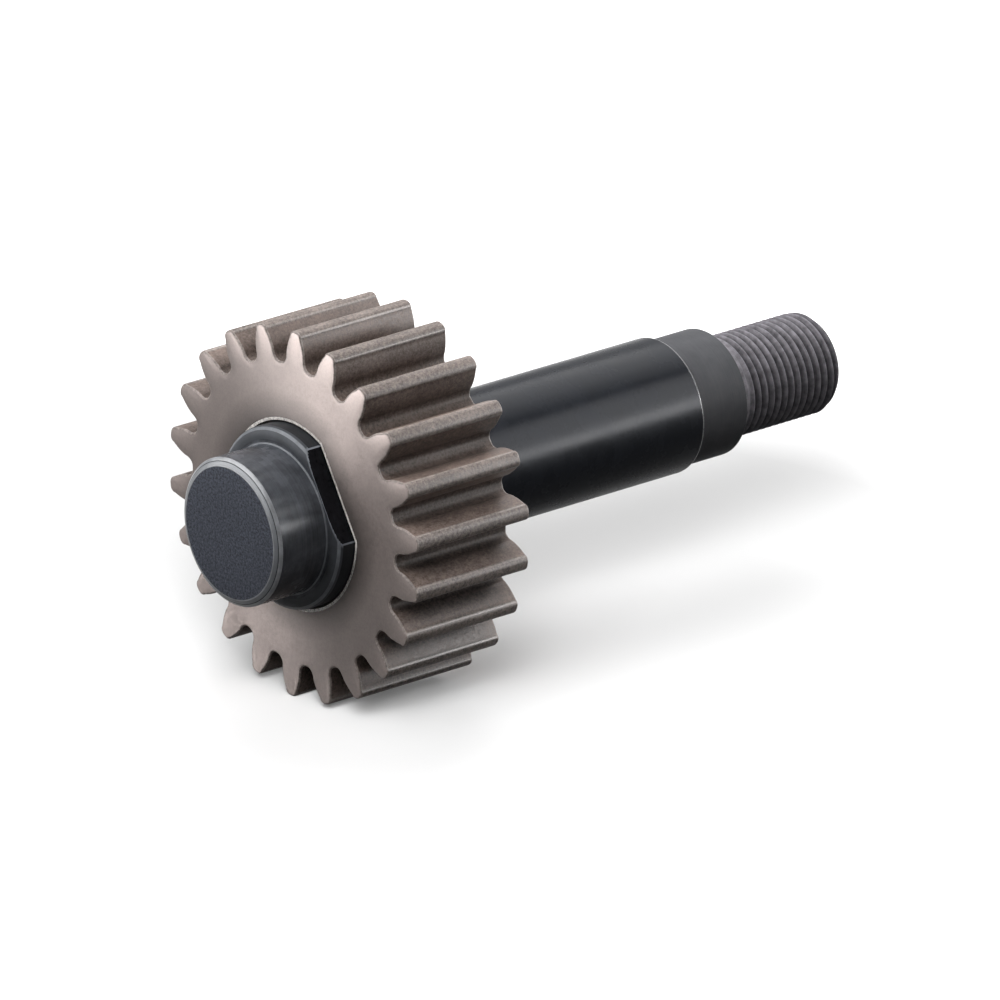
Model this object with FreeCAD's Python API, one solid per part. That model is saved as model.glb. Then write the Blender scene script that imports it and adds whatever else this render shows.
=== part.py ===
# Input gear: a straight-cut spur gear pressed on the double-D seat of a stepped shaft.
# Units are millimetres. The shaft lies along X, with the pilot end at -X and the thread at +X.
# The origin is on the shaft's axis, at the shoulder where the main journal meets its collar.

import FreeCAD, Part
import math
import os

V = FreeCAD.Vector
AXIS = V(1, 0, 0)
tolerance = 1e-4

# Gear teeth
teeth_count = 22
module_size = 2.75
pressure_angle = 20.0
addendum_factor = 1.0
root_clearance_factor = 0.25
flank_backlash = 0.12
tip_round_height = 0.95
tip_round_width = 0.7
tip_round_limit = 0.8
root_fillet = 1.25
root_fillet_limit = 0.42
flank_point_count = 7
first_tooth_angle = 15.0

# Gear body
face_width = 24.5
tooth_end_chamfer = 0.45
blank_allowance = 0.5
bore_edge_chamfer = 0.4

# Double-D seat that the gear is pressed on
seat_diameter = 32.0
seat_across_flats = 27.0
seat_overhang = 3.3
seat_edge_round_width = 2.2
seat_edge_round_length = 1.1
flats_after_tooth = -4.5

# Front pilot journal
pilot_diameter = 26.0
pilot_length = 10.5
pilot_chamfer_depth = 1.3
pilot_chamfer_length = 0.8
pilot_root_fillet = 0.4

# Locating collar behind the gear
collar_diameter = 37.0
collar_width = 3.0
collar_chamfer = 0.5

# Main journal
journal_diameter = 24.0
journal_length = 54.0
journal_end_chamfer = 0.35

# Register behind the main journal
register_diameter = 22.4
register_length = 10.5
register_end_chamfer = 0.5

# Threaded end, drawn at its major diameter
thread_diameter = 18.0
thread_length = 23.5
thread_end_chamfer_depth = 1.15
thread_end_chamfer_length = 1.4


def involute(angle):
    """The involute function of an angle in radians."""
    return math.tan(angle) - angle


def polar(radius, angle):
    """A point of the gear's section, at an angle in radians from +Z towards +Y."""
    return V(0, radius * math.sin(angle), radius * math.cos(angle))


# Radii of the gear's section
pitch_radius = module_size * teeth_count / 2
tip_radius = pitch_radius + addendum_factor * module_size
root_radius = pitch_radius - (addendum_factor + root_clearance_factor) * module_size
base_radius = pitch_radius * math.cos(math.radians(pressure_angle))
tooth_pitch = 2 * math.pi / teeth_count
half_tooth_at_pitch = tooth_pitch / 4 - flank_backlash / (2 * pitch_radius)


def half_tooth(radius):
    """Half of a tooth's angle at a radius on its involute flank."""
    flank_angle = math.acos(min(1.0, base_radius / radius))
    return half_tooth_at_pitch + involute(math.radians(pressure_angle)) - involute(flank_angle)


def flank_points(start_radius, end_radius):
    """Points of one flank as pairs of radius and angle from the tooth's middle."""
    step = (end_radius - start_radius) / (flank_point_count - 1)
    radii = [start_radius + step * index for index in range(flank_point_count)]
    return [(radius, half_tooth(radius)) for radius in radii]


def bend(center, first, second):
    """The middle of a quarter ellipse from first to second, all as radius and angle."""
    share = math.sqrt(0.5)
    return tuple(c + share * (a - c + b - c) for c, a, b in zip(center, first, second))


def arc(start, middle, end):
    return Part.Arc(start, middle, end).toShape()


def tooth_edges(middle, fillet, round_width):
    """One tooth and the root arc after it: fillets, flanks, rounded tip and root."""
    flank = flank_points(max(base_radius, root_radius + fillet), tip_radius - tip_round_height)
    foot = (root_radius, flank[0][1] + fillet / root_radius)
    land = (tip_radius, half_tooth(tip_radius) - round_width / tip_radius)
    foot_bend = bend((flank[0][0], foot[1]), foot, flank[0])
    land_bend = bend((flank[-1][0], land[1]), flank[-1], land)
    edges = []
    for side in (-1, 1):
        curve = Part.BSplineCurve()
        curve.interpolate([polar(radius, middle + side * half) for radius, half in flank])
        points = [polar(radius, middle + side * half)
                  for radius, half in (foot, foot_bend, flank[0], flank[-1], land_bend, land)]
        edges.append(arc(*points[:3]))
        edges.append(curve.toShape())
        edges.append(arc(*points[3:]))
    edges.append(arc(polar(tip_radius, middle - land[1]), polar(tip_radius, middle),
                     polar(tip_radius, middle + land[1])))
    edges.append(arc(polar(root_radius, middle + foot[1]),
                     polar(root_radius, middle + tooth_pitch / 2),
                     polar(root_radius, middle + tooth_pitch - foot[1])))
    return edges


def toothed_section():
    """The face that all the teeth bound, square to the axis at the origin."""
    root_gap = (tooth_pitch - 2 * half_tooth(base_radius)) * root_radius
    half_land = half_tooth(tip_radius) * tip_radius
    fillet = min(root_fillet, root_fillet_limit * root_gap)
    round_width = min(tip_round_width, tip_round_limit * half_land)
    edges = []
    for tooth in range(teeth_count):
        middle = math.radians(first_tooth_angle) + tooth * tooth_pitch
        edges.extend(tooth_edges(middle, fillet, round_width))
    return Part.Face(Part.Wire(Part.__sortEdges__(edges)))


def turned(profile):
    """A solid of revolution about the shaft's axis, from points of X and radius.

    A point with two more numbers ends an arc, which passes through those two on its way.
    """
    edges = []
    last = V(profile[-1][0], 0, profile[-1][1])
    for x, radius, *way in profile:
        point = V(x, 0, radius)
        if way:
            edges.append(arc(last, V(way[0], 0, way[1]), point))
        else:
            edges.append(Part.LineSegment(last, point).toShape())
        last = point
    return Part.Face(Part.Wire(edges)).revolve(V(0, 0, 0), AXIS, 360)


# Places along X
gear_rear = -collar_width
gear_front = gear_rear - face_width
seat_front = gear_front - seat_overhang
pilot_front = seat_front - pilot_length
journal_end = journal_length
register_end = journal_end + register_length
thread_end = register_end + thread_length
flat_direction = math.radians(first_tooth_angle) + flats_after_tooth * tooth_pitch


def double_d(diameter, across_flats, start, length):
    """A round bar with two parallel flats, both square to the direction of the flats."""
    bar = Part.makeCylinder(diameter / 2, length, V(start, 0, 0), AXIS)
    slab = Part.makeBox(length, 2 * diameter, across_flats)
    slab.translate(V(start, -diameter, -across_flats / 2))
    slab.rotate(V(0, 0, 0), AXIS, -math.degrees(flat_direction))
    return bar.common(slab)


def spur_gear():
    """The gear: teeth bevelled at both ends, with a double-D bore that has broken edges."""
    teeth = toothed_section().extrude(V(-face_width, 0, 0))
    teeth.translate(V(gear_rear, 0, 0))
    blank_radius = tip_radius + blank_allowance
    bevel_radius = tip_radius - tooth_end_chamfer
    bevel_rear = gear_rear - tooth_end_chamfer - blank_allowance
    blank = turned([(gear_rear, 0), (gear_rear, bevel_radius), (bevel_rear, blank_radius),
                    (gear_front + tooth_end_chamfer + blank_allowance, blank_radius),
                    (gear_front, bevel_radius), (gear_front, 0)])
    gear = teeth.common(blank)
    gear = gear.cut(double_d(seat_diameter, seat_across_flats, gear_front, face_width))
    return break_bore_edges(gear)


def break_bore_edges(gear):
    """Chamfer the bore's edges on both faces of the gear."""
    edges = []
    for edge in gear.Edges:
        middle = edge.valueAt((edge.FirstParameter + edge.LastParameter) / 2)
        radius = math.hypot(middle.y, middle.z)
        if edge.BoundBox.XLength < tolerance and radius < seat_diameter / 2 + tolerance:
            edges.append(edge)
    return gear.makeChamfer(bore_edge_chamfer, edges)


def gear_shaft():
    """The shaft: pilot, double-D seat, collar, journal, register and threaded end."""
    pilot_radius = pilot_diameter / 2
    seat_radius = seat_diameter / 2
    journal_radius = journal_diameter / 2
    register_radius = register_diameter / 2
    thread_radius = thread_diameter / 2
    fillet = pilot_root_fillet
    to_bend = 1 - math.sqrt(0.5)
    fillet_bend = fillet * to_bend
    pilot = turned([(pilot_front, 0),
                    (pilot_front, pilot_radius - pilot_chamfer_depth),
                    (pilot_front + pilot_chamfer_length, pilot_radius),
                    (seat_front - fillet, pilot_radius),
                    (seat_front, pilot_radius + fillet,
                     seat_front - fillet_bend, pilot_radius + fillet_bend),
                    (seat_front, 0)])
    seat_bar = turned([(seat_front, 0),
                       (seat_front, seat_radius - seat_edge_round_width),
                       (seat_front + seat_edge_round_length, seat_radius,
                        seat_front + seat_edge_round_length * to_bend,
                        seat_radius - seat_edge_round_width * to_bend),
                       (gear_rear, seat_radius),
                       (gear_rear, 0)])
    seat_length = face_width + seat_overhang
    seat = seat_bar.common(double_d(seat_diameter, seat_across_flats, seat_front, seat_length))
    collar_radius = collar_diameter / 2
    rear = turned([(gear_rear, 0),
                   (gear_rear, collar_radius - collar_chamfer),
                   (gear_rear + collar_chamfer, collar_radius),
                   (-collar_chamfer, collar_radius),
                   (0, collar_radius - collar_chamfer),
                   (0, journal_radius),
                   (journal_end - journal_end_chamfer, journal_radius),
                   (journal_end, journal_radius - journal_end_chamfer),
                   (journal_end, register_radius),
                   (register_end - register_end_chamfer, register_radius),
                   (register_end, register_radius - register_end_chamfer),
                   (register_end, thread_radius),
                   (thread_end - thread_end_chamfer_length, thread_radius),
                   (thread_end, thread_radius - thread_end_chamfer_depth),
                   (thread_end, 0)])
    return pilot.fuse([seat, rear]).removeSplitter()


def single_solid(shape):
    """The one solid of a finished shape."""
    solids = shape.Solids
    if len(solids) != 1:
        raise ValueError("expected one solid, found %d" % len(solids))
    return solids[0]


os.makedirs("parts", exist_ok=True)
nodes = {"spur_gear": spur_gear(), "gear_shaft": gear_shaft()}
for name, shape in nodes.items():
    solid = single_solid(shape)
    solid.exportStep("parts/%s.step" % name)
    print(name, "volume %.1f mm3" % solid.Volume, "valid", solid.isValid())
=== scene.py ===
import bpy
import math
from collections import namedtuple
from mathutils import Matrix, Vector


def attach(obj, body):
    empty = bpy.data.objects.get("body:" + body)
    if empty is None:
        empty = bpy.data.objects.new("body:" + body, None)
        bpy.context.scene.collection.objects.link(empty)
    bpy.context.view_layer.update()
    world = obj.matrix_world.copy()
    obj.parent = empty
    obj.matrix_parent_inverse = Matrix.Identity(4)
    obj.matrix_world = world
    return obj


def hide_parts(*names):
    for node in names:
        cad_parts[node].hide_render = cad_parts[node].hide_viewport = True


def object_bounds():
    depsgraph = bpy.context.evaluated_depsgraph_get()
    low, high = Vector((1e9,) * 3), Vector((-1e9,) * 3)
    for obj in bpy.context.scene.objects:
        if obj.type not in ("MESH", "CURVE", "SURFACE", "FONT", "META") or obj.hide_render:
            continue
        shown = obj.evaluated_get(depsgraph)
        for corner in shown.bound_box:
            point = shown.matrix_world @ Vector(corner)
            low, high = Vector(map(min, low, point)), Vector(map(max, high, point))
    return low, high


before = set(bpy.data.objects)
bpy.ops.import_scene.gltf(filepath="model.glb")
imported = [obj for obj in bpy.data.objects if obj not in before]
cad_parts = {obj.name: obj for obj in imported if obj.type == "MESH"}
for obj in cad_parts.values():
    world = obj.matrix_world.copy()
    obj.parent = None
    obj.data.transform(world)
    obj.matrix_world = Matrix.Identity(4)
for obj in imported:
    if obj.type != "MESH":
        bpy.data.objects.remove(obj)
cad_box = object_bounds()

# Lengths are millimetres where no comment says metres, and MM turns them into the scene's metres
MM = 0.001

# Gear teeth
TEETH = 22
MODULE = 2.75
DEDENDUM_FACTOR = 1.25
PRESSURE_ANGLE = math.radians(20)
PITCH_RADIUS = MODULE * TEETH / 2
TIP_RADIUS = PITCH_RADIUS + MODULE
ROOT_RADIUS = PITCH_RADIUS - DEDENDUM_FACTOR * MODULE
BASE_RADIUS = PITCH_RADIUS * math.cos(PRESSURE_ANGLE)
TOOTH_PITCH = 2 * math.pi / TEETH
BACKLASH = 0.12
TIP_ROUND_HEIGHT = 0.95
TIP_ROUND_WIDTH = 0.7
ROOT_FILLET = 1.25
FIRST_TOOTH = math.radians(15)

# Points on each stretch of a tooth's outline, and the steps of its tip that are lighter, partly as
# wear and partly as a painted highlight
ROOT_POINTS = 3
FILLET_POINTS = 8
FLANK_POINTS = 8
TIP_ROUND_POINTS = 9
TIP_WEAR_AND_HIGHLIGHT_STEPS = (1, 2)

# Gear body
GEAR_REAR = -3.0
GEAR_FRONT = -27.5
GEAR_EDGE_ROUND = 0.32
GEAR_EDGE_STEPS = 3
WEB_RADIUS = ROOT_RADIUS - 1.2
BORE_CHAMFER = 0.4
BORE_LIP = 0.5
BORE_LIP_SETBACK = 0.05

# Double-D seat, its flats and the narrow facets at their corners
SEAT_RADIUS = 16.0
SEAT_FLAT = 13.5
FLATS_AFTER_TOOTH = -4.5
FLAT_ANGLE = FIRST_TOOTH + FLATS_AFTER_TOOTH * TOOTH_PITCH
FLAT_INSET = 0.1
FLAT_MARGIN = 0.02
FACET_ANGLE = math.radians(0.55)
FACET_CLEARANCE = 1.6
# Width of the lighter band beside the flats, partly worn oxide and partly a painted highlight
FLAT_EDGE_HIGHLIGHT_WIDTH = 0.35
SEAT_FRONT = -30.8
SEAT_ROUND_WIDTH = 2.2
SEAT_ROUND_LENGTH = 1.1
SEAT_ROUND_POINTS = 9
# Steps of the seat's rounded edge that get the bright ring, a painted highlight
SEAT_HIGHLIGHT_STEPS = (4, 5)

# Front pilot
PILOT_FRONT = -41.3
PILOT_RADIUS = 13.0
PILOT_CHAMFER_DEPTH = 1.3
PILOT_CHAMFER_LENGTH = 0.8
PILOT_EDGE = 0.18
PILOT_FILLET = 0.4
PILOT_FILLET_POINTS = 5
# Steps of the pilot's fillet that get the bright ring, a painted highlight
FILLET_HIGHLIGHT_STEPS = (1, 2)

# Share of the pilot's chamfer at which each of its bands starts, and the band's surface: lighter
# bands, partly wear and partly painted highlight, with a darker band between them
CHAMFER_BANDS = [(0.05, "chamfer"), (0.50, "seat"), (0.60, "edge"), (0.86, "edge")]

# Collar, main journal and register
COLLAR_RADIUS = 18.5
COLLAR_CHAMFER = 0.5
JOURNAL_RADIUS = 12.0
JOURNAL_END = 54.0
JOURNAL_ROUND = 0.45
REGISTER_RADIUS = 11.2
REGISTER_END = 64.5
REGISTER_ROUND = 0.5
STEP_ROUND_POINTS = 6

# Threaded end
THREAD_RADIUS = 9.0
THREAD_END = 88.0
THREAD_CHAMFER_DEPTH = 1.15
THREAD_CHAMFER_LENGTH = 1.4
THREAD_PITCH = 1.5
THREAD_DEPTH = 0.85
THREAD_START = 66.3
THREAD_FADE = 1.5 * THREAD_PITCH
THREAD_ROUNDING = 0.8
THREAD_ROWS_PER_PITCH = 12

# Columns of the shaft's mesh, and the ring in each flat end as a share of the end's radius
SHAFT_COLUMNS = 240
END_RING_SHARE = 0.5

# Edges of the meshes look sharp from this angle on
SHARP_ANGLE = math.radians(28)

# Smallest cosine that a length is divided by
SMALLEST_COSINE = 1e-6

# The gear's surfaces, in the order of its material slots, all tones of one phosphated steel:
# the flanks and roots darker as painted shade, the bore near black as painted shade in its gap,
# the edges lighter as wear and a painted highlight, and the bore lip near white as a painted
# highlight
GEAR_LOOKS = {
    "face": dict(color=(0.176, 0.148, 0.138), rough=0.46, grain=0.008, speckle=0.12,
                 specular=0.5, metallic=0.6, halo=0.6, turned=0.8, worn=0.35),
    "flank": dict(color=(0.092, 0.069, 0.059), rough=0.50, grain=0.05, speckle=0.40,
                  specular=0.09, worn=0.9),
    "root": dict(color=(0.104, 0.080, 0.069), rough=0.55, grain=0.05, speckle=0.40,
                 specular=0.04),
    "tip": dict(color=(0.180, 0.149, 0.134), rough=0.50, grain=0.05, speckle=0.50,
                specular=0.08),
    "edge": dict(color=(0.25, 0.213, 0.195), rough=0.45, grain=0.03, speckle=0.40,
                 specular=0.15),
    "bore_lip": dict(color=(0.82, 0.78, 0.74), rough=0.30, grain=0.02, speckle=0.45,
                     specular=0.5),
    "bore": dict(color=(0.020, 0.017, 0.015), rough=0.60, grain=0.02, speckle=0.50,
                 specular=0.1),
}

# The shaft's surfaces, in the order of its material slots: the edges, chamfers and step edge
# are lighter, partly as wear and partly as painted highlights, and the rings are painted
# highlights
SHAFT_LOOKS = {
    "pilot": dict(color=(0.058, 0.062, 0.071), rough=0.26, specular=0.045, mottle=0.50,
                  scale=260),
    "end_face": dict(color=(0.053, 0.058, 0.074), rough=0.60),
    "edge": dict(color=(0.18, 0.187, 0.20), rough=0.35, specular=0.4, mottle=0.4, scale=500),
    "chamfer": dict(color=(0.088, 0.095, 0.105), rough=0.35, specular=0.4, mottle=0.25,
                    scale=400),
    "ring": dict(color=(0.135, 0.144, 0.158), rough=0.38, specular=0.12, mottle=0.35,
                 scale=450),
    "seat_round": dict(color=(0.060, 0.064, 0.072), rough=0.36, specular=0.05, mottle=0.3,
                       flat_edge_wear_and_highlight=4.0),
    "seat": dict(color=(0.028, 0.029, 0.032), rough=0.40, specular=0.03),
    "flat": dict(color=(0.010, 0.010, 0.012), rough=0.30, specular=0.04, mottle=0.5,
                 scale=700),
    "register": dict(color=(0.098, 0.099, 0.106), rough=0.40, specular=0.004),
    "thread": dict(color=(0.272, 0.260, 0.284), rough=0.45, specular=0.005, mottle=0.5,
                   scale=700, groove_shade=0.25),
    "journal": dict(color=(0.009, 0.0105, 0.0145), rough=0.27, specular=0.028),
    "step_edge": dict(color=(0.10, 0.10, 0.105), rough=0.30, specular=0.3, mottle=0.5,
                      scale=300),
}

# Noise scales, per metre
GEAR_CLOUD_SCALE = 150
CRYSTAL_SCALE = 1700
GRIT_SCALE = 3600
TURNING_SCALE = 4200
END_BLOTCH_SCALE = 2300
END_GRIT_SCALE = 5500

# Middle of a noise's values, and the range that holds most of them
NOISE_MIDDLE = 0.5
NOISE_LOW = 0.3
NOISE_HIGH = 0.7

# Distances from the bore between which the painted shade round the hub fades out
HUB_SHADE_START = 0.6
HUB_SHADE_END = 6.0

# Height of the turning lines and their share in the oxide's pattern
TURNING_HEIGHT = 0.01
TURNING_SHARE = 0.3

# Height of the end face's grain
END_GRAIN = 0.05

# Turn of the stretched gloss, in whole turns
QUARTER_TURN = 0.25

# Camera, fitted to the photograph's tooth tips and shaft ends, its scale in pixels per millimetre
CAMERA_AZIMUTH = math.radians(-40.25)
CAMERA_ELEVATION = math.radians(20.75)
CAMERA_DISTANCE = 3000.0
CAMERA_SCALE = 5.903
CAMERA_PAN = (13.93, -3.85)
IMAGE_WIDTH = 1000
SENSOR_WIDTH = 36.0

# Nearest and furthest distance that the camera shows, in metres
CLIP_START = 0.05
CLIP_END = 20

# Point that the lamps face, and the power of an area lamp per square metre and unit of radiance
LAMP_AIM = (15, 0, 0)
POWER_PER_RADIANCE = 4

# Lamps on the part: name, direction, distance and size in metres, and radiance
PART_LAMPS = [
    ("key_lamp", (-0.8, 0.4, 1.0), 1.0, (0.7, 0.7), 4.2),
    ("overhead_lamp", (0.30, 0.30, 1.0), 1.0, (1.0, 0.8), 1.9),
    ("right_overhead_lamp", (0.15, -0.50, 1.0), 1.0, (0.9, 0.6), 2.3),
    ("side_lamp", (-0.55, -0.8, 0.6), 1.0, (0.8, 0.8), 0.35),
]

# Lamps on the part that show only as gloss
GLOSS_LAMPS = [
    ("face_lamp", (-0.844, 0.382, 0.40), 0.145, (0.15, 0.12), 7.0),
    ("rear_lamp", (0.6, 0.25, 0.8), 1.0, (0.9, 0.9), 5.2),
    ("right_lamp", (0.604, -0.69, 0.39), 0.8, (0.7, 0.6), 16.0),
    ("strip_lamp", (0.604, -0.79, 0.135), 0.75, (0.7, 0.15), 31.0),
]

# Lamps that light only the floor, where the first two put the shadow close under the shaft
FLOOR_LAMPS = [
    ("floor_lamp_0", (-0.75, -1.05, 1.0), 1.0, (0.45, 0.45), 9.0),
    ("floor_lamp_1", (-1.25, -1.05, 1.0), 1.0, (0.45, 0.45), 9.0),
    ("floor_lamp_2", (-0.80, -0.50, 1.0), 1.0, (0.50, 0.50), 4.5),
    ("floor_lamp_3", (-0.40, 0.10, 1.0), 1.0, (0.60, 0.60), 1.0),
    ("floor_lamp_4", (0.50, 0.55, 1.0), 1.0, (0.70, 0.70), 4.2),
]

# Floor: its radius, and the distances between which it turns pure white, in metres
FLOOR_RADIUS = 4.0
FLOOR_SIDES = 96
WHITE_START = 0.11
WHITE_END = 0.18

# The floor near the part, as the camera sees it, as gloss mirrors it and as other rays meet it
SEEN_GLOW = 0.12
SEEN_ALBEDO = 0.60
MIRRORED_GLOW = 0.05
MIRRORED_ALBEDO = 0.38
HIDDEN_ALBEDO = 0.03

# Even light from all sides
WORLD_FILL = 0.04


def involute(angle):
    return math.tan(angle) - angle


def half_tooth(radius):
    """Half of a tooth's angle at a radius on its flank."""
    thickness = TOOTH_PITCH / 4 - BACKLASH / (2 * PITCH_RADIUS)
    flank_angle = math.acos(min(1.0, BASE_RADIUS / radius))
    return thickness + involute(PRESSURE_ANGLE) - involute(flank_angle)


def spread(start, end, count):
    """Evenly spaced values from start to end, both included."""
    return [start + (end - start) * step / (count - 1) for step in range(count)]


def quarter(count):
    """Evenly spaced angles of a quarter turn, both ends included."""
    return spread(0, math.pi / 2, count)


def half_tooth_outline():
    """One side of a tooth, from the middle of the root to the middle of the tip.

    Each point is a radius, an angle from the tooth's middle and the name of its surface.
    """
    flank_start = max(BASE_RADIUS, ROOT_RADIUS + ROOT_FILLET)
    flank_end = TIP_RADIUS - TIP_ROUND_HEIGHT
    foot = half_tooth(flank_start)
    foot_out = foot + ROOT_FILLET / ROOT_RADIUS
    side = half_tooth(flank_end)
    tip = half_tooth(TIP_RADIUS) - TIP_ROUND_WIDTH / TIP_RADIUS
    points = []
    for angle in spread(TOOTH_PITCH / 2, foot_out, ROOT_POINTS)[:-1]:
        points.append((ROOT_RADIUS, angle, "root"))
    for turn in quarter(FILLET_POINTS)[:-1]:
        radius = ROOT_RADIUS + (flank_start - ROOT_RADIUS) * (1 - math.cos(turn))
        points.append((radius, foot_out - (foot_out - foot) * math.sin(turn), "root"))
    for radius in spread(flank_start, flank_end, FLANK_POINTS)[:-1]:
        points.append((radius, half_tooth(radius), "flank"))
    for index, turn in enumerate(quarter(TIP_ROUND_POINTS)[:-1]):
        radius = flank_end + TIP_ROUND_HEIGHT * math.sin(turn)
        surface = "edge" if index in TIP_WEAR_AND_HIGHLIGHT_STEPS else "tip"
        points.append((radius, tip + (side - tip) * math.cos(turn), surface))
    for angle in (tip, 0.0):
        points.append((TIP_RADIUS, angle, "tip"))
    return points


def gear_outline():
    """All the teeth as points of radius, angle and surface, in order of falling angle."""
    side = half_tooth_outline()
    points = []
    for tooth in range(TEETH):
        middle = FIRST_TOOTH - tooth * TOOTH_PITCH
        for radius, angle, surface in side[:-1]:
            points.append((radius, middle + angle, surface))
        for index in range(len(side) - 1, 0, -1):
            points.append((side[index][0], middle - side[index][1], side[index - 1][2]))
    return points


def at(x, radius, angle):
    """A point in metres, its angle measured from +Z towards +Y."""
    return Vector((x * MM, radius * math.sin(angle) * MM, radius * math.cos(angle) * MM))


def double_d(angle, radius, flat):
    """The radius of a round bar with two flats, at an angle."""
    across = abs(math.cos(angle - FLAT_ANGLE))
    return min(radius, flat / max(across, SMALLEST_COSINE))


def inset_ring(outline, x, inset):
    """The toothed outline moved into the metal by an inset, at a place along X."""
    points = [Vector((radius * math.sin(angle), radius * math.cos(angle)))
              for radius, angle, surface in outline]
    ring = []
    for index, point in enumerate(points):
        following = points[(index + 1) % len(points)]
        along = (following - points[index - 1]).normalized()
        moved = point + Vector((-along.y, along.x)) * inset
        ring.append(Vector((x * MM, moved.x * MM, moved.y * MM)))
    return ring


def ring_mesh(name, rings, surface_at, slots, closed_loop):
    """A mesh from rings of equally many points, with a surface name for each quad.

    The last ring is joined to the first in a closed loop, and else both ends get a cap.
    """
    count = len(rings[0])
    faces = []
    surfaces = []
    for row in range(len(rings) if closed_loop else len(rings) - 1):
        start = row * count
        upper = (row + 1) % len(rings) * count
        for column in range(count):
            side = (column + 1) % count
            faces.append((start + column, start + side, upper + side, upper + column))
            surfaces.append(surface_at(row, column))
    if not closed_loop:
        last = len(rings) - 1
        faces.append(tuple(range(count - 1, -1, -1)))
        surfaces.append(surface_at(0, 0))
        faces.append(tuple(last * count + column for column in range(count)))
        surfaces.append(surface_at(last, 0))
    mesh = bpy.data.meshes.new(name)
    mesh.from_pydata([point for ring in rings for point in ring], [], faces)
    mesh.validate()
    for polygon, surface in zip(mesh.polygons, surfaces):
        polygon.material_index = slots.index(surface)
        polygon.use_smooth = True
    mesh.set_sharp_from_angle(angle=SHARP_ANGLE)
    piece = bpy.data.objects.new(name, mesh)
    bpy.context.scene.collection.objects.link(piece)
    return piece


def rounded_steps(radius, steps):
    """Pairs of inset and setback that round an edge, from its end face inwards."""
    return [(radius * (1 - math.sin(turn)), radius * (1 - math.cos(turn)))
            for turn in quarter(steps + 1)]


def bore_ring(angles, x, wider):
    """A ring of the double-D bore, opened out by a little."""
    return [at(x, double_d(angle, SEAT_RADIUS + wider, SEAT_FLAT + wider), angle)
            for angle in angles]


def build_gear():
    """The gear as one closed skin: teeth, both faces and the bore."""
    outline = gear_outline()
    angles = [angle for radius, angle, surface in outline]
    edge_steps = rounded_steps(GEAR_EDGE_ROUND, GEAR_EDGE_STEPS)
    rings = []
    bands = []

    def add(ring, band):
        rings.append(ring)
        bands.append(band)

    for inset, setback in edge_steps:
        add(inset_ring(outline, GEAR_FRONT + setback, inset), "edge")
    bands[-1] = "side"
    for inset, setback in reversed(edge_steps):
        add(inset_ring(outline, GEAR_REAR - setback, inset), "edge")
    bands[-1] = "face"
    add([at(GEAR_REAR, WEB_RADIUS, angle) for angle in angles], "face")
    lip = BORE_CHAMFER + BORE_LIP
    add(bore_ring(angles, GEAR_REAR, lip), "bore_lip")
    add(bore_ring(angles, GEAR_REAR - BORE_LIP_SETBACK, BORE_CHAMFER), "bore")
    add(bore_ring(angles, GEAR_REAR - BORE_CHAMFER, 0), "bore")
    add(bore_ring(angles, GEAR_FRONT + BORE_CHAMFER, 0), "bore")
    add(bore_ring(angles, GEAR_FRONT + BORE_LIP_SETBACK, BORE_CHAMFER), "bore_lip")
    add(bore_ring(angles, GEAR_FRONT, lip), "face")
    add([at(GEAR_FRONT, WEB_RADIUS, angle) for angle in angles], "face")

    def surface_at(row, column):
        if bands[row] == "side":
            return outline[column][2]
        return bands[row]

    return ring_mesh("gear_body", rings, surface_at, list(GEAR_LOOKS), closed_loop=True)


def thread_radius(x, angle):
    """The thread's radius: a rounded vee along a right-hand helix, fading out at its start."""
    turns = (x + THREAD_PITCH * angle / (2 * math.pi)) / THREAD_PITCH
    phase = turns - math.floor(turns)
    groove = (0.5 - 0.5 * math.cos(2 * math.pi * phase)) ** THREAD_ROUNDING
    fade = min(1.0, max(0.0, (x - THREAD_START) / THREAD_FADE))
    return THREAD_RADIUS - THREAD_DEPTH * groove * fade


def flat_corners():
    """The angles of the four corners between the seat's round and its flats."""
    corner = math.acos(SEAT_FLAT / SEAT_RADIUS)
    return [(FLAT_ANGLE + side + turn) % (2 * math.pi)
            for side in (0, math.pi) for turn in (-corner, corner)]


def shaft_angles(corners):
    """Angles round the shaft, with a narrow facet at each corner of the two flats."""
    kept = [angle for angle in spread(0, 2 * math.pi, SHAFT_COLUMNS + 1)[:-1]
            if all(abs(angle - corner) > FACET_CLEARANCE * FACET_ANGLE for corner in corners)]
    for corner in corners:
        kept.extend([corner - FACET_ANGLE, corner + FACET_ANGLE])
    return sorted(kept, reverse=True)


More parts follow.
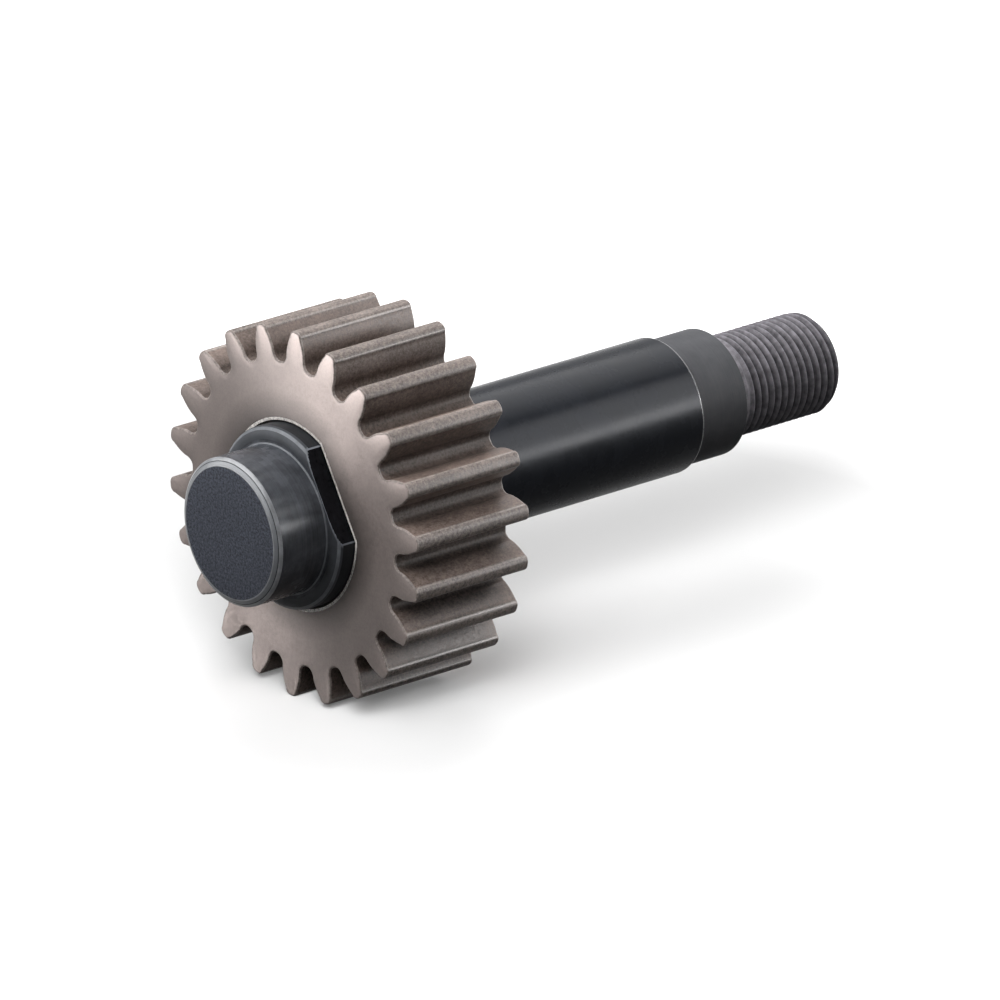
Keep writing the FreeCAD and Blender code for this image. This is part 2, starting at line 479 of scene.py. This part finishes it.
def shaft_profile():
    """The shaft's rows: place along X, radius, surface after the row, and shape of the row."""
    rows = []

    def add(x, radius, surface, shape="round"):
        rows.append((x, radius, surface, shape))

    def add_rounding(turns, end, radius, size, surface):
        """Rows of an edge between a diameter and the step that ends it."""
        for turn in turns:
            add(end - size * (1 - math.sin(turn)), radius - size * (1 - math.cos(turn)), surface)

    face = PILOT_RADIUS - PILOT_CHAMFER_DEPTH
    add(PILOT_FRONT, face * END_RING_SHARE, "end_face")
    add(PILOT_FRONT, face - PILOT_EDGE, "edge")
    for share, surface in CHAMFER_BANDS:
        add(PILOT_FRONT + share * PILOT_CHAMFER_LENGTH, face + share * PILOT_CHAMFER_DEPTH,
            surface)
    add(PILOT_FRONT + PILOT_CHAMFER_LENGTH + PILOT_EDGE, PILOT_RADIUS, "pilot")
    for index, turn in enumerate(quarter(PILOT_FILLET_POINTS)):
        x = SEAT_FRONT - PILOT_FILLET * (1 - math.sin(turn))
        surface = "ring" if index in FILLET_HIGHLIGHT_STEPS else "pilot"
        add(x, PILOT_RADIUS + PILOT_FILLET * (1 - math.cos(turn)), surface)
    add(SEAT_FRONT, SEAT_RADIUS - SEAT_ROUND_WIDTH, "seat_round", "flats_inset")
    for index, turn in enumerate(quarter(SEAT_ROUND_POINTS)[1:-1], start=1):
        x = SEAT_FRONT + SEAT_ROUND_LENGTH * (1 - math.cos(turn))
        surface = "ring" if index in SEAT_HIGHLIGHT_STEPS else "seat_round"
        add(x, SEAT_RADIUS - SEAT_ROUND_WIDTH * (1 - math.sin(turn)), surface, "flats")
    add(SEAT_FRONT + SEAT_ROUND_LENGTH, SEAT_RADIUS, "seat", "flats")
    add(GEAR_REAR, SEAT_RADIUS, "seat", "flats")
    add(GEAR_REAR, COLLAR_RADIUS - COLLAR_CHAMFER, "edge")
    add(GEAR_REAR + COLLAR_CHAMFER, COLLAR_RADIUS, "pilot")
    add(-COLLAR_CHAMFER, COLLAR_RADIUS, "edge")
    add(0, COLLAR_RADIUS - COLLAR_CHAMFER, "pilot")
    add(0, JOURNAL_RADIUS, "journal")
    step_turns = quarter(STEP_ROUND_POINTS)
    add_rounding(step_turns[:-1], JOURNAL_END, JOURNAL_RADIUS, JOURNAL_ROUND, "step_edge")
    add(JOURNAL_END, REGISTER_RADIUS, "register")
    add_rounding(step_turns, REGISTER_END, REGISTER_RADIUS, REGISTER_ROUND, "register")
    row_count = int((THREAD_END - REGISTER_END) / THREAD_PITCH * THREAD_ROWS_PER_PITCH) + 1
    for x in spread(REGISTER_END, THREAD_END, row_count)[:-1]:
        add(x, THREAD_RADIUS, "thread", "thread")
    add(THREAD_END, THREAD_RADIUS, "register", "thread")
    add(THREAD_END, (THREAD_RADIUS - THREAD_CHAMFER_DEPTH) * END_RING_SHARE, "register")
    return rows


def shaped_radius(shape, x, radius, angle):
    """A row's radius at an angle, with the flats or the thread of its shape."""
    if shape == "flats":
        return double_d(angle, radius, SEAT_FLAT)
    if shape == "flats_inset":
        return double_d(angle, radius, SEAT_FLAT - FLAT_INSET)
    if shape == "thread":
        run = max(0.0, x - (THREAD_END - THREAD_CHAMFER_LENGTH))
        cone = THREAD_RADIUS - THREAD_CHAMFER_DEPTH * run / THREAD_CHAMFER_LENGTH
        return min(thread_radius(x, angle), cone)
    return radius


def build_shaft():
    """The shaft as one closed skin, turned from its profile with flats and a real thread."""
    corners = flat_corners()
    angles = shaft_angles(corners)
    middles = [(angle + angles[(column + 1) % len(angles)]) / 2
               for column, angle in enumerate(angles)]
    facets = {column for column, middle in enumerate(middles)
              if any(abs(middle - corner) < FACET_ANGLE / 2 for corner in corners)}
    rows = shaft_profile()
    rings = [[at(x, shaped_radius(shape, x, radius, angle), angle) for angle in angles]
             for x, radius, surface, shape in rows]

    def surface_at(row, column):
        x, radius, surface, shape = rows[row]
        if shape != "flats" or x >= GEAR_REAR:
            return surface
        if column in facets and surface == "seat":
            return "seat_round"
        on_flat = double_d(middles[column], radius, SEAT_FLAT) < radius - FLAT_MARGIN
        return "flat" if on_flat else surface

    return ring_mesh("shaft_body", rings, surface_at, list(SHAFT_LOOKS), closed_loop=False)


# A place in the part's frame, in metres, with its distance from the shaft's axis
Place = namedtuple("Place", "vector x y z radius")


class Nodes:
    """A small helper that adds shader nodes to a tree and links them by socket name."""

    def __init__(self, tree):
        self.tree = tree

    def add(self, kind, **settings):
        node = self.tree.nodes.new(kind)
        for key, value in settings.items():
            setattr(node, key, value)
        return node

    def link(self, source, target):
        self.tree.links.new(source, target)

    def feed(self, socket, value):
        """Set a socket to a number, or link it to another socket."""
        if isinstance(value, (int, float)):
            socket.default_value = value
        else:
            self.link(value, socket)

    def calc(self, operation, *values):
        node = self.add("ShaderNodeMath", operation=operation)
        for socket, value in zip(node.inputs, values):
            self.feed(socket, value)
        return node.outputs[0]

    def blend(self, *parts):
        """The sum of some values, each times its weight."""
        products = [self.calc("MULTIPLY", value, weight) for value, weight in parts]
        total = products[0]
        for product in products[1:]:
            total = self.calc("ADD", total, product)
        return total

    def vector(self, *values):
        node = self.add("ShaderNodeCombineXYZ")
        for socket, value in zip(node.inputs, values):
            self.feed(socket, value)
        return node.outputs[0]

    def place(self):
        vector = self.add("ShaderNodeTexCoord").outputs["Object"]
        split = self.add("ShaderNodeSeparateXYZ")
        self.link(vector, split.inputs[0])
        x, y, z = split.outputs
        square = self.calc("ADD", self.calc("MULTIPLY", y, y), self.calc("MULTIPLY", z, z))
        return Place(vector, x, y, z, self.calc("SQRT", square))

    def across_flats(self, place):
        """How far a place is from the axis, measured square to the shaft's two flats."""
        across = self.blend((place.y, math.sin(FLAT_ANGLE)), (place.z, math.cos(FLAT_ANGLE)))
        return self.calc("ABSOLUTE", across)

    def noise(self, vector, scale, detail, roughness=0.55):
        node = self.add("ShaderNodeTexNoise")
        node.inputs["Scale"].default_value = scale
        node.inputs["Detail"].default_value = detail
        node.inputs["Roughness"].default_value = roughness
        self.link(vector, node.inputs["Vector"])
        return node.outputs["Fac"]

    def stretch(self, value, low, high, to_low, to_high):
        """Map a value from one range to another, and stop at the ends."""
        node = self.add("ShaderNodeMapRange")
        for key, number in (("From Min", low), ("From Max", high),
                            ("To Min", to_low), ("To Max", to_high)):
            node.inputs[key].default_value = number
        self.link(value, node.inputs["Value"])
        return node.outputs["Result"]

    def uneven(self, number, noise, amount):
        """A number that a noise moves down and up by an amount."""
        return self.stretch(noise, NOISE_LOW, NOISE_HIGH, number - amount, number + amount)

    def mottle(self, value, color, width, darkest, lightest):
        """A colour that values below the middle make darker, and values above it lighter."""
        node = self.add("ShaderNodeValToRGB")
        elements = node.color_ramp.elements
        elements.new(NOISE_MIDDLE)
        stops = ((NOISE_MIDDLE - width, darkest), (NOISE_MIDDLE, 1.0),
                 (NOISE_MIDDLE + width, lightest))
        for element, (position, amount) in zip(elements, stops):
            element.position = position
            element.color = (*[channel * amount for channel in color], 1.0)
        self.link(value, node.inputs[0])
        return node.outputs["Color"]

    def scale_color(self, color, factor):
        node = self.add("ShaderNodeVectorMath", operation="SCALE")
        self.link(color, node.inputs[0])
        self.link(factor, node.inputs["Scale"])
        return node.outputs[0]

    def bump(self, height, distance, strength):
        node = self.add("ShaderNodeBump")
        node.inputs["Distance"].default_value = distance * MM
        node.inputs["Strength"].default_value = strength
        self.link(height, node.inputs["Height"])
        return node.outputs["Normal"]

    def output(self, surface):
        self.link(surface, self.add("ShaderNodeOutputMaterial").inputs["Surface"])

    def finish(self, color, roughness, normal, specular, metallic=0.0):
        """The surface's one shader, linked to the output."""
        shader = self.add("ShaderNodeBsdfPrincipled")
        self.link(color, shader.inputs["Base Color"])
        self.link(normal, shader.inputs["Normal"])
        self.feed(shader.inputs["Roughness"], roughness)
        shader.inputs["Specular IOR Level"].default_value = specular
        shader.inputs["Metallic"].default_value = metallic
        self.output(shader.outputs[0])
        return shader

    def turn(self, shader, amount):
        """Stretch the gloss across turning marks that run round the X axis."""
        around = self.add("ShaderNodeTangent", direction_type="RADIAL", axis="X")
        shader.inputs["Anisotropic"].default_value = amount
        shader.inputs["Anisotropic Rotation"].default_value = QUARTER_TURN
        self.link(around.outputs[0], shader.inputs["Tangent"])

    def shown(self, paths):
        """One for a ray of the camera, of gloss or through glass, and zero for all others."""
        camera_or_gloss = self.calc("MAXIMUM", paths["Is Camera Ray"], paths["Is Glossy Ray"])
        return self.calc("MAXIMUM", camera_or_gloss, paths["Is Transmission Ray"])


def new_material(name):
    """A material without nodes, and the helper that adds them."""
    material = bpy.data.materials.new(name)
    material.use_nodes = True
    material.node_tree.nodes.clear()
    return material, Nodes(material.node_tree)


def gear_material(name, color, rough, grain, speckle, specular, metallic=0.0, halo=0.0,
                  turned=0.0, worn=0.0):
    """Phosphated steel: brown-grey, with a crystalline grain.

    It can be darkened round the bore as painted shade of the hub, turned stretches its gloss
    across the turning marks, and it can be lightened towards the tips of the teeth, partly as wear
    and partly as painted light on the tips with painted shade at the roots.
    """
    material, nodes = new_material(name)
    place = nodes.place()
    cloud = nodes.noise(place.vector, GEAR_CLOUD_SCALE, detail=4)
    crystal = nodes.noise(place.vector, CRYSTAL_SCALE, detail=3, roughness=0.6)
    grit = nodes.noise(place.vector, GRIT_SCALE, detail=2, roughness=0.7)
    pattern = nodes.blend((cloud, 0.25), (crystal, 0.45), (grit, 0.3))
    shown = nodes.mottle(pattern, color, width=0.10, darkest=1 - speckle, lightest=1 + speckle)
    # Painted shade round the bore, where the hub's shadow falls on the face
    if halo:
        across = nodes.calc("SUBTRACT", nodes.across_flats(place), SEAT_FLAT * MM)
        around = nodes.calc("SUBTRACT", place.radius, SEAT_RADIUS * MM)
        outside = nodes.calc("MAXIMUM", across, around)
        fade = nodes.stretch(outside, HUB_SHADE_START * MM, HUB_SHADE_END * MM, 1 - halo, 1)
        shown = nodes.scale_color(shown, fade)
    # Lighter towards the tips: partly wear, partly painted light on the tips and painted shade at
    # the roots
    if worn:
        wear_and_light_factor = nodes.stretch(place.radius, ROOT_RADIUS * MM, TIP_RADIUS * MM, 1, 1 + worn)
        shown = nodes.scale_color(shown, wear_and_light_factor)
    height = nodes.blend((crystal, 0.5), (grit, 0.5))
    normal = nodes.bump(height, grain, strength=0.8)
    roughness = nodes.uneven(rough, crystal, amount=0.08)
    shader = nodes.finish(shown, roughness, normal, specular, metallic)
    if turned:
        nodes.turn(shader, turned)
    return material


def shaft_material(name, color, rough, specular, mottle=0.2, scale=160, groove_shade=None, flat_edge_wear_and_highlight=None):
    """Black oxide on turned steel: dark, clouded, with fine lines round the axis.

    The bottom of the thread's grooves can be darkened to a share, as painted shade, and the metal
    beside the flats lightened by a factor, partly as worn oxide and partly as a painted highlight.
    """
    material, nodes = new_material(name)
    place = nodes.place()
    lines = nodes.noise(nodes.vector(place.x, place.radius, 0.0), TURNING_SCALE, detail=2)
    cloud = nodes.noise(place.vector, scale, detail=4, roughness=0.6)
    pattern = nodes.blend((cloud, 1 - TURNING_SHARE), (lines, TURNING_SHARE))
    shown = nodes.mottle(pattern, color, width=0.20, darkest=1 - mottle, lightest=1 + mottle)
    # Painted shade at the bottom of the thread's grooves
    if groove_shade:
        bottom = (THREAD_RADIUS - THREAD_DEPTH) * MM
        depth = nodes.stretch(place.radius, bottom, THREAD_RADIUS * MM, groove_shade, 1)
        shown = nodes.scale_color(shown, depth)
    # Lighter beside the flats: partly worn oxide, partly a painted highlight
    if flat_edge_wear_and_highlight:
        flat_edge_highlight_start = (SEAT_FLAT - FLAT_EDGE_HIGHLIGHT_WIDTH) * MM
        near_flat = nodes.stretch(nodes.across_flats(place), flat_edge_highlight_start, SEAT_FLAT * MM, 1, flat_edge_wear_and_highlight)
        shown = nodes.scale_color(shown, near_flat)
    normal = nodes.bump(lines, TURNING_HEIGHT, strength=0.35)
    roughness = nodes.uneven(rough, cloud, amount=0.04)
    nodes.finish(shown, roughness, normal, specular)
    return material


def end_face_material(name, color, rough):
    """The faced end of the pilot, with the oxide's mottled grain."""
    material, nodes = new_material(name)
    vector = nodes.place().vector
    blotch = nodes.noise(vector, END_BLOTCH_SCALE, detail=3, roughness=0.6)
    grit = nodes.noise(vector, END_GRIT_SCALE, detail=2, roughness=0.6)
    pattern = nodes.blend((blotch, 0.65), (grit, 0.35))
    shown = nodes.mottle(pattern, color, width=0.11, darkest=0.45, lightest=1.75)
    normal = nodes.bump(pattern, END_GRAIN, strength=0.8)
    nodes.finish(shown, rough, normal, specular=0.05)
    return material


def camera_axes():
    """The camera's right, up and forward directions."""
    level = math.cos(CAMERA_ELEVATION)
    forward = Vector((-math.sin(CAMERA_AZIMUTH) * level, math.cos(CAMERA_AZIMUTH) * level,
                      -math.sin(CAMERA_ELEVATION)))
    right = Vector((math.cos(CAMERA_AZIMUTH), math.sin(CAMERA_AZIMUTH), 0))
    return right, right.cross(forward), forward


def place_camera():
    right, up, forward = camera_axes()
    target = (right * CAMERA_PAN[0] + up * CAMERA_PAN[1]) * MM
    data = bpy.data.cameras.new("camera")
    data.sensor_width = SENSOR_WIDTH
    data.lens = CAMERA_SCALE * CAMERA_DISTANCE * SENSOR_WIDTH / IMAGE_WIDTH
    data.clip_start = CLIP_START
    data.clip_end = CLIP_END
    camera = bpy.data.objects.new("camera", data)
    basis = Matrix((right, up, -forward)).transposed().to_4x4()
    basis.translation = target - forward * CAMERA_DISTANCE * MM
    camera.matrix_world = basis
    bpy.context.scene.collection.objects.link(camera)
    bpy.context.scene.camera = camera


def softbox(name, direction, distance, size, radiance):
    """A rectangular lamp of an even radiance, placed by its direction from the part."""
    data = bpy.data.lights.new(name, "AREA")
    data.shape = "RECTANGLE"
    data.size, data.size_y = size
    data.energy = POWER_PER_RADIANCE * size[0] * size[1] * radiance
    lamp = bpy.data.objects.new(name, data)
    away = Vector(direction).normalized()
    lamp.location = Vector(LAMP_AIM) * MM + away * distance
    lamp.rotation_euler = away.to_track_quat("Z", "Y").to_euler()
    lamp.visible_camera = False
    bpy.context.scene.collection.objects.link(lamp)
    return lamp


def floor_material():
    """White to the camera and in gloss, but for the soft shadow and dimmer gloss near the part."""
    material, nodes = new_material("floor_white")
    paths = nodes.add("ShaderNodeLightPath").outputs
    camera = paths["Is Camera Ray"]
    shown = nodes.shown(paths)
    distance = nodes.add("ShaderNodeVectorMath", operation="LENGTH")
    nodes.link(nodes.add("ShaderNodeTexCoord").outputs["Object"], distance.inputs[0])
    far = nodes.stretch(distance.outputs["Value"], WHITE_START, WHITE_END, 0, 1)
    near_glow = nodes.stretch(camera, 0, 1, MIRRORED_GLOW, SEEN_GLOW)
    near_albedo = nodes.stretch(camera, 0, 1, MIRRORED_ALBEDO, SEEN_ALBEDO)
    albedo = nodes.calc("MAXIMUM", nodes.calc("MULTIPLY", shown, near_albedo), HIDDEN_ALBEDO)
    strength = nodes.calc("MULTIPLY", shown, nodes.calc("MAXIMUM", near_glow, far))
    diffuse = nodes.add("ShaderNodeBsdfDiffuse")
    nodes.link(nodes.vector(albedo, albedo, albedo), diffuse.inputs["Color"])
    glow = nodes.add("ShaderNodeEmission")
    nodes.link(strength, glow.inputs["Strength"])
    total = nodes.add("ShaderNodeAddShader")
    nodes.link(diffuse.outputs[0], total.inputs[0])
    nodes.link(glow.outputs[0], total.inputs[1])
    nodes.output(total.outputs[0])
    return material


def build_floor():
    """A wide round floor that the lowest teeth touch."""
    level = cad_box[0][2]
    ring = [(FLOOR_RADIUS * math.cos(angle), FLOOR_RADIUS * math.sin(angle), level)
            for angle in spread(0, 2 * math.pi, FLOOR_SIDES + 1)[:-1]]
    mesh = bpy.data.meshes.new("floor")
    mesh.from_pydata(ring, [], [tuple(range(len(ring)))])
    mesh.materials.append(floor_material())
    floor = bpy.data.objects.new("floor", mesh)
    bpy.context.scene.collection.objects.link(floor)
    return floor


def link_light(lamps, name, piece, state):
    """Let some lamps light only one piece, or every piece but that one."""
    group = bpy.data.collections.new(name)
    group.objects.link(piece)
    group.collection_objects[0].light_linking.link_state = state
    for lamp in lamps:
        lamp.light_linking.receiver_collection = group


def build_world():
    """White to the camera and in reflections, and a dim even fill for the rest."""
    world = bpy.data.worlds.new("studio")
    world.use_nodes = True
    nodes = Nodes(world.node_tree)
    shown = nodes.shown(nodes.add("ShaderNodeLightPath").outputs)
    background = world.node_tree.nodes["Background"]
    background.inputs["Color"].default_value = (1, 1, 1, 1)
    nodes.link(nodes.stretch(shown, 0, 1, WORLD_FILL, 1), background.inputs["Strength"])
    bpy.context.scene.world = world


gear = build_gear()
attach(gear, "root")
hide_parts("spur_gear")
for surface, look in GEAR_LOOKS.items():
    gear.data.materials.append(gear_material("gear_" + surface, **look))

shaft = build_shaft()
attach(shaft, "root")
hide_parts("gear_shaft")
for surface, look in SHAFT_LOOKS.items():
    make = end_face_material if surface == "end_face" else shaft_material
    shaft.data.materials.append(make("shaft_" + surface, **look))

place_camera()
lamps = [softbox(*row) for row in PART_LAMPS]
for row in GLOSS_LAMPS:
    lamp = softbox(*row)
    lamp.visible_diffuse = False
    lamps.append(lamp)
floor = build_floor()
link_light(lamps, "all_but_floor", floor, "EXCLUDE")
link_light([softbox(*row) for row in FLOOR_LAMPS], "floor_only", floor, "INCLUDE")
build_world()
bpy.context.scene.view_settings.view_transform = "Standard"
